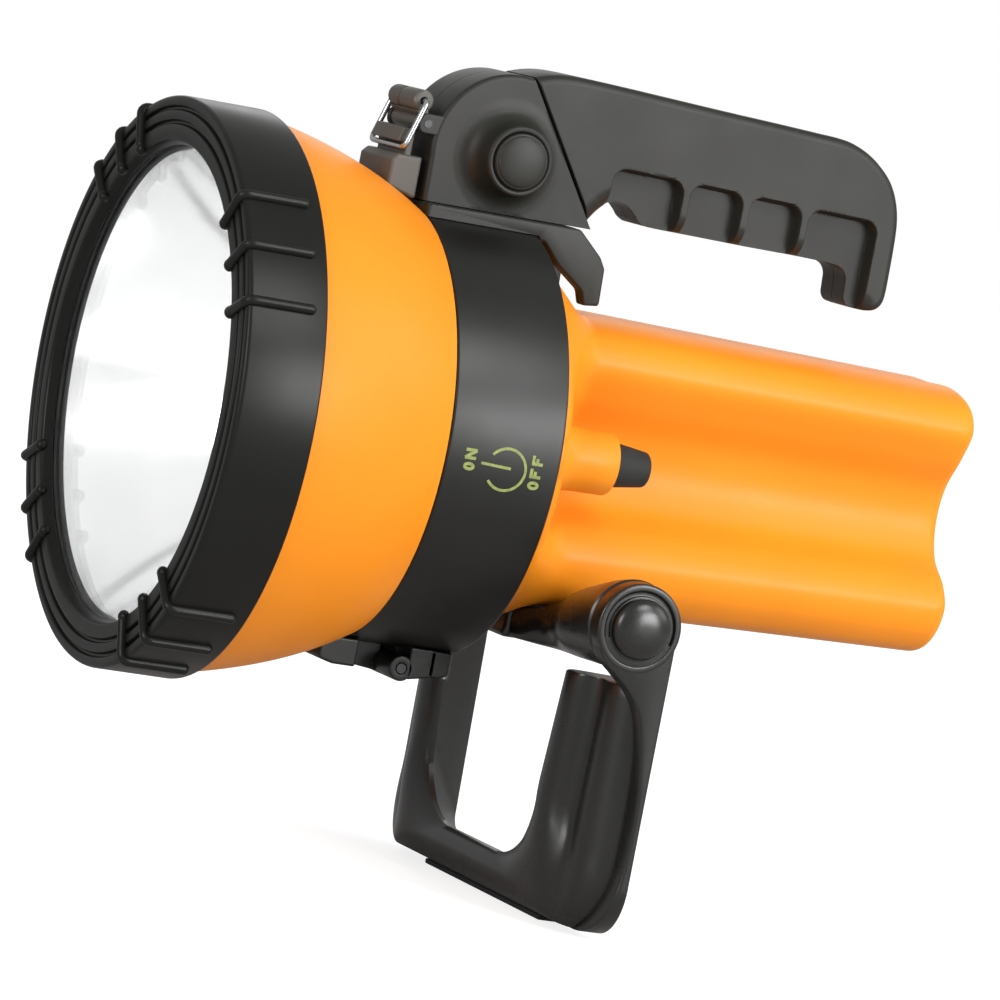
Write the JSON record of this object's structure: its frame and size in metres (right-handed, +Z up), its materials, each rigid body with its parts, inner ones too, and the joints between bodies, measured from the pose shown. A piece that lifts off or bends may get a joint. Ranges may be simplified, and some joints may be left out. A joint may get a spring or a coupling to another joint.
{
  "type": "handheld searchlight",
  "caption": "Handheld searchlight: round lamp head with ribbed bezel, fluted battery body, swivelling finger-grip handle, wire latch and U-shaped folding stand.",
  "frame": {"origin": "centre of the underside of the stand's foot pad", "axes": "+X the way the beam points, +Y the lamp's left side, +Z up"},
  "size_m": [0.272, 0.1818, 0.2562],
  "materials": {
    "orange_shell": "satin moulded orange plastic",
    "black_plastic": "fine satin black plastic",
    "black_rubber": "matt black rubber",
    "clear": "clear polished glass",
    "reflector_silver": "bright silvered bowl",
    "steel": "plain bright steel",
    "contact_brass": "plain brass",
    "cell": "plain printed dark sleeve over a metal can"
  },
  "bodies": {
    "lamp": {"front_housing": "orange_shell", "reflector": "reflector_silver", "bulb_glass": "clear", "bulb_base": "contact_brass", "bulb_holder": "black_plastic", "head_seal": "black_rubber", "latch_catch": "black_plastic", "band": "black_plastic", "hinge_front_leaf": "black_plastic", "hinge_rear_leaf": "black_plastic", "hinge_pin": "steel", "rear_housing": "orange_shell", "battery_cell_1": "cell", "battery_cell_2": "cell", "battery_cell_3": "cell", "battery_cell_4": "cell", "battery_carrier": "black_plastic", "front_contact_upper": "contact_brass", "front_contact_lower": "contact_brass", "rear_contact_plate": "contact_brass", "contact_spring_upper": "steel", "contact_spring_lower": "steel", "switch_body": "black_plastic", "handle_shoe": "black_plastic", "knuckle_left": "black_plastic", "knuckle_right": "black_plastic", "swivel_washer": "contact_brass", "button_spring": "steel", "pivot_plug": "black_plastic", "latch_pin": "steel", "stand_bracket": "black_plastic", "pivot_bolt_left": "steel", "pivot_bolt_right": "steel"},
    "bezel": {"bezel_ring": "black_plastic", "lens": "clear", "lens_gasket": "black_rubber"},
    "grip": {"grip_left": "black_plastic", "grip_right": "black_plastic", "grip_screw_1": "steel", "grip_screw_2": "steel", "swivel_spool": "steel"},
    "release_button": {"release_button": "black_plastic"},
    "latch_lever": {"latch_lever": "black_plastic"},
    "latch_bail": {"latch_bail": "steel"},
    "switch_knob": {"switch_knob": "black_rubber"},
    "stand": {"stand_frame": "black_plastic", "foot_pad": "black_rubber", "bolt_cap_left": "black_plastic", "bolt_cap_right": "black_plastic"}
  },
  "joints": [
    {"name": "bezel_twist", "type": "hinge", "parent": "lamp", "child": "bezel", "pos_m": [0.15, 0, 0.1408], "axis": [1, 0, 0], "range_deg": [0, 35]},
    {"name": "handle_swivel", "type": "hinge", "parent": "lamp", "child": "grip", "pos_m": [0.0296, 0, 0.2324], "axis": [-0.8357, 0, 0.5492], "range_deg": [0, 180]},
    {"name": "release_button", "type": "slide", "parent": "lamp", "child": "release_button", "axis": [0, -1, 0], "range_m": [0, 0.003], "stiffness_N_per_m": 500, "springref_m": -0.004, "deforming": ["button_spring"]},
    {"name": "stand_swing", "type": "hinge", "parent": "lamp", "child": "stand", "pos_m": [0.0075, 0, 0.0975], "axis": [0, 1, 0], "range_deg": [-50, 75]},
    {"name": "latch_lever_turn", "type": "hinge", "parent": "lamp", "child": "latch_lever", "pos_m": [0.076, 0, 0.2338], "axis": [0, 1, 0], "range_deg": [0, 60]},
    {"name": "latch_bail_turn", "type": "hinge", "parent": "latch_lever", "child": "latch_bail", "pos_m": [0.0777, 0, 0.2404], "axis": [0, 1, 0], "range_deg": [-150, 0]},
    {"name": "switch_slide", "type": "slide", "parent": "lamp", "child": "switch_knob", "axis": [1, 0, 0], "range_m": [0, 0.004]}
  ],
  "couplings": [
    {"joint": "latch_bail_turn", "follows": "latch_lever_turn", "ratio": -2.5}
  ]
}
